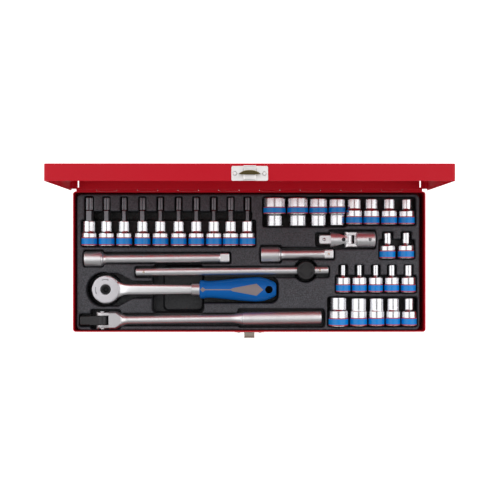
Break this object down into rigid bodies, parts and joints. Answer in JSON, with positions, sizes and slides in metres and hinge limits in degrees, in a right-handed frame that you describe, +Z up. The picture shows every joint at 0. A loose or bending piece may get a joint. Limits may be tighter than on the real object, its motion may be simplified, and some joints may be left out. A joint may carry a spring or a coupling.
{
  "type": "socket wrench set in case",
  "caption": "Hinged sheet-steel case with a moulded insert that holds a ratchet, flex handle, sliding T bar, extension bars, universal joint, sockets and bit sockets.",
  "frame": {"origin": "middle of the underside of the case's base, on the surface that it stands on", "axes": "+X along the case's width to the right seen from the front, +Y towards the hinge, +Z up"},
  "size_m": [0.3662, 0.1669, 0.1861],
  "materials": {
    "black_oxide": "black phosphate on forged steel",
    "black_tray": "grained black moulding",
    "button_black": "black moulded button",
    "catch_nickel": "dull nickel plate",
    "gear_steel": "hardened steel",
    "grip_blue": "blue moulded grip, semi gloss",
    "grip_grey": "soft grey inlay",
    "hinge_steel": "plain steel pin",
    "mirror_chrome": "polished chrome with a blue and red band",
    "nickel": "bright nickel plate",
    "red_enamel": "bright red enamel, satin gloss",
    "satin_chrome": "satin chrome on forged steel"
  },
  "bodies": {
    "case": {"case_base": "red_enamel", "insert_tray": "black_tray", "hinge_base_leaf": "red_enamel", "hinge_pin": "hinge_steel", "catch_bracket": "catch_nickel", "catch_rivets": "catch_nickel"},
    "lid": {"lid": "red_enamel", "hinge_lid_leaf": "red_enamel", "latch_plate": "nickel", "latch_rivets": "nickel", "latch_pin": "nickel"},
    "latch_lever": {"latch_lever": "nickel"},
    "ratchet": {"ratchet_body": "satin_chrome", "ratchet_pawl": "gear_steel", "ratchet_grip": "grip_blue", "ratchet_grip_inlay": "grip_grey"},
    "ratchet_drive": {"ratchet_gear": "gear_steel"},
    "ratchet_dial": {"ratchet_dial": "satin_chrome"},
    "ratchet_button": {"ratchet_button": "button_black"},
    "flex_handle": {"flex_handle_bar": "satin_chrome", "flex_pivot_pin": "satin_chrome"},
    "flex_head": {"flex_drive_head": "black_oxide"},
    "t_bar": {"sliding_bar": "satin_chrome"},
    "t_head": {"sliding_head": "black_oxide"},
    "extension_long": {"extension_long": "satin_chrome"},
    "extension_short": {"extension_short": "satin_chrome"},
    "ujoint_socket": {"ujoint_socket_yoke": "satin_chrome"},
    "ujoint_block": {"ujoint_cross": "satin_chrome", "ujoint_pins": "satin_chrome"},
    "ujoint_drive": {"ujoint_drive_yoke": "satin_chrome"},
    "socket_a1": {"socket_a1": "mirror_chrome"},
    "socket_a2": {"socket_a2": "mirror_chrome"},
    "socket_a3": {"socket_a3": "mirror_chrome"},
    "socket_a4": {"socket_a4": "mirror_chrome"},
    "socket_a5": {"socket_a5": "mirror_chrome"},
    "socket_a6": {"socket_a6": "mirror_chrome"},
    "socket_a7": {"socket_a7": "mirror_chrome"},
    "socket_a8": {"socket_a8": "mirror_chrome"},
    "socket_b1": {"socket_b1": "mirror_chrome"},
    "socket_b2": {"socket_b2": "mirror_chrome"},
    "socket_c1": {"socket_c1": "mirror_chrome"},
    "socket_c2": {"socket_c2": "mirror_chrome"},
    "socket_c3": {"socket_c3": "mirror_chrome"},
    "socket_c4": {"socket_c4": "mirror_chrome"},
    "socket_c5": {"socket_c5": "mirror_chrome"},
    "socket_d1": {"socket_d1": "mirror_chrome"},
    "socket_d2": {"socket_d2": "mirror_chrome"},
    "socket_d3": {"socket_d3": "mirror_chrome"},
    "socket_d4": {"socket_d4": "mirror_chrome"},
    "socket_d5": {"socket_d5": "mirror_chrome"},
    "bit_socket_1": {"bit_socket_1": "mirror_chrome"},
    "bit_socket_2": {"bit_socket_2": "mirror_chrome"},
    "bit_socket_3": {"bit_socket_3": "mirror_chrome"},
    "bit_socket_4": {"bit_socket_4": "mirror_chrome"},
    "bit_socket_5": {"bit_socket_5": "mirror_chrome"},
    "bit_socket_6": {"bit_socket_6": "mirror_chrome"},
    "bit_socket_7": {"bit_socket_7": "mirror_chrome"},
    "bit_socket_8": {"bit_socket_8": "mirror_chrome"},
    "bit_socket_9": {"bit_socket_9": "mirror_chrome"},
    "bit_socket_10": {"bit_socket_10": "mirror_chrome"}
  },
  "joints": [
    {"name": "lid_hinge", "type": "hinge", "parent": "case", "child": "lid", "pos_m": [0, 0.0745, 0.031], "axis": [-1, 0, 0], "range_deg": [-90, 0]},
    {"name": "latch_lever_pivot", "type": "hinge", "parent": "lid", "child": "latch_lever", "pos_m": [0, 0.0833, 0.1816], "axis": [-1, 0, 0], "range_deg": [0, 25]},
    {"name": "ratchet_lift", "type": "slide", "parent": "case", "child": "ratchet", "axis": [0, 0, 1], "range_m": [0, 0.06]},
    {"name": "ratchet_drive_spin", "type": "hinge", "parent": "ratchet", "child": "ratchet_drive", "pos_m": [-0.1481, -0.0288, 0.02], "axis": [0, 0, 1], "continuous": true},
    {"name": "ratchet_dial_turn", "type": "hinge", "parent": "ratchet", "child": "ratchet_dial", "pos_m": [-0.1481, -0.0288, 0.028], "axis": [0, 0, 1], "range_deg": [0, 40]},
    {"name": "ratchet_button_press", "type": "slide", "parent": "ratchet_drive", "child": "ratchet_button", "axis": [0, 0, 1], "range_m": [-0.002, 0], "stiffness_N_per_m": 500, "springref_m": 0.001},
    {"name": "flex_handle_lift", "type": "slide", "parent": "case", "child": "flex_handle", "axis": [0, 0, 1], "range_m": [0, 0.06]},
    {"name": "flex_head_tilt", "type": "hinge", "parent": "flex_handle", "child": "flex_head", "pos_m": [-0.1522, -0.0607, 0.0235], "axis": [-0.0129, 0.9999, 0], "range_deg": [0, 90]},
    {"name": "t_bar_lift", "type": "slide", "parent": "case", "child": "t_bar", "axis": [0, 0, 1], "range_m": [0, 0.06]},
    {"name": "t_head_slide", "type": "slide", "parent": "t_bar", "child": "t_head", "axis": [1, 0.0096, 0], "range_m": [-0.0025, 0.0025]},
    {"name": "ujoint_lift", "type": "slide", "parent": "case", "child": "ujoint_socket", "axis": [0, 0, 1], "range_m": [0, 0.06]},
    {"name": "ujoint_pitch", "type": "hinge", "parent": "ujoint_socket", "child": "ujoint_block", "pos_m": [0.1028, 0.0229, 0.0235], "axis": [0, 1, 0], "range_deg": [0, 40]},
    {"name": "ujoint_yaw", "type": "hinge", "parent": "ujoint_block", "child": "ujoint_drive", "pos_m": [0.0972, 0.0229, 0.0235], "axis": [0, 0, 1], "range_deg": [-3, 3]},
    {"name": "extension_long_lift", "type": "slide", "parent": "case", "child": "extension_long", "axis": [0, 0, 1], "range_m": [0, 0.06]},
    {"name": "extension_short_lift", "type": "slide", "parent": "case", "child": "extension_short", "axis": [0, 0, 1], "range_m": [0, 0.06]},
    {"name": "socket_a1_lift", "type": "slide", "parent": "case", "child": "socket_a1", "axis": [0, 0, 1], "range_m": [0, 0.06]},
    {"name": "socket_a2_lift", "type": "slide", "parent": "case", "child": "socket_a2", "axis": [0, 0, 1], "range_m": [0, 0.06]},
    {"name": "socket_a3_lift", "type": "slide", "parent": "case", "child": "socket_a3", "axis": [0, 0, 1], "range_m": [0, 0.06]},
    {"name": "socket_a4_lift", "type": "slide", "parent": "case", "child": "socket_a4", "axis": [0, 0, 1], "range_m": [0, 0.06]},
    {"name": "socket_a5_lift", "type": "slide", "parent": "case", "child": "socket_a5", "axis": [0, 0, 1], "range_m": [0, 0.06]},
    {"name": "socket_a6_lift", "type": "slide", "parent": "case", "child": "socket_a6", "axis": [0, 0, 1], "range_m": [0, 0.06]},
    {"name": "socket_a7_lift", "type": "slide", "parent": "case", "child": "socket_a7", "axis": [0, 0, 1], "range_m": [0, 0.06]},
    {"name": "socket_a8_lift", "type": "slide", "parent": "case", "child": "socket_a8", "axis": [0, 0, 1], "range_m": [0, 0.06]},
    {"name": "socket_b1_lift", "type": "slide", "parent": "case", "child": "socket_b1", "axis": [0, 0, 1], "range_m": [0, 0.06]},
    {"name": "socket_b2_lift", "type": "slide", "parent": "case", "child": "socket_b2", "axis": [0, 0, 1], "range_m": [0, 0.06]},
    {"name": "socket_c1_lift", "type": "slide", "parent": "case", "child": "socket_c1", "axis": [0, 0, 1], "range_m": [0, 0.06]},
    {"name": "socket_c2_lift", "type": "slide", "parent": "case", "child": "socket_c2", "axis": [0, 0, 1], "range_m": [0, 0.06]},
    {"name": "socket_c3_lift", "type": "slide", "parent": "case", "child": "socket_c3", "axis": [0, 0, 1], "range_m": [0, 0.06]},
    {"name": "socket_c4_lift", "type": "slide", "parent": "case", "child": "socket_c4", "axis": [0, 0, 1], "range_m": [0, 0.06]},
    {"name": "socket_c5_lift", "type": "slide", "parent": "case", "child": "socket_c5", "axis": [0, 0, 1], "range_m": [0, 0.06]},
    {"name": "socket_d1_lift", "type": "slide", "parent": "case", "child": "socket_d1", "axis": [0, 0, 1], "range_m": [0, 0.06]},
    {"name": "socket_d2_lift", "type": "slide", "parent": "case", "child": "socket_d2", "axis": [0, 0, 1], "range_m": [0, 0.06]},
    {"name": "socket_d3_lift", "type": "slide", "parent": "case", "child": "socket_d3", "axis": [0, 0, 1], "range_m": [0, 0.06]},
    {"name": "socket_d4_lift", "type": "slide", "parent": "case", "child": "socket_d4", "axis": [0, 0, 1], "range_m": [0, 0.06]},
    {"name": "socket_d5_lift", "type": "slide", "parent": "case", "child": "socket_d5", "axis": [0, 0, 1], "range_m": [0, 0.06]},
    {"name": "bit_socket_1_lift", "type": "slide", "parent": "case", "child": "bit_socket_1", "axis": [0, 0, 1], "range_m": [0, 0.06]},
    {"name": "bit_socket_2_lift", "type": "slide", "parent": "case", "child": "bit_socket_2", "axis": [0, 0, 1], "range_m": [0, 0.06]},
    {"name": "bit_socket_3_lift", "type": "slide", "parent": "case", "child": "bit_socket_3", "axis": [0, 0, 1], "range_m": [0, 0.06]},
    {"name": "bit_socket_4_lift", "type": "slide", "parent": "case", "child": "bit_socket_4", "axis": [0, 0, 1], "range_m": [0, 0.06]},
    {"name": "bit_socket_5_lift", "type": "slide", "parent": "case", "child": "bit_socket_5", "axis": [0, 0, 1], "range_m": [0, 0.06]},
    {"name": "bit_socket_6_lift", "type": "slide", "parent": "case", "child": "bit_socket_6", "axis": [0, 0, 1], "range_m": [0, 0.06]},
    {"name": "bit_socket_7_lift", "type": "slide", "parent": "case", "child": "bit_socket_7", "axis": [0, 0, 1], "range_m": [0, 0.06]},
    {"name": "bit_socket_8_lift", "type": "slide", "parent": "case", "child": "bit_socket_8", "axis": [0, 0, 1], "range_m": [0, 0.06]},
    {"name": "bit_socket_9_lift", "type": "slide", "parent": "case", "child": "bit_socket_9", "axis": [0, 0, 1], "range_m": [0, 0.06]},
    {"name": "bit_socket_10_lift", "type": "slide", "parent": "case", "child": "bit_socket_10", "axis": [0, 0, 1], "range_m": [0, 0.06]}
  ]
}
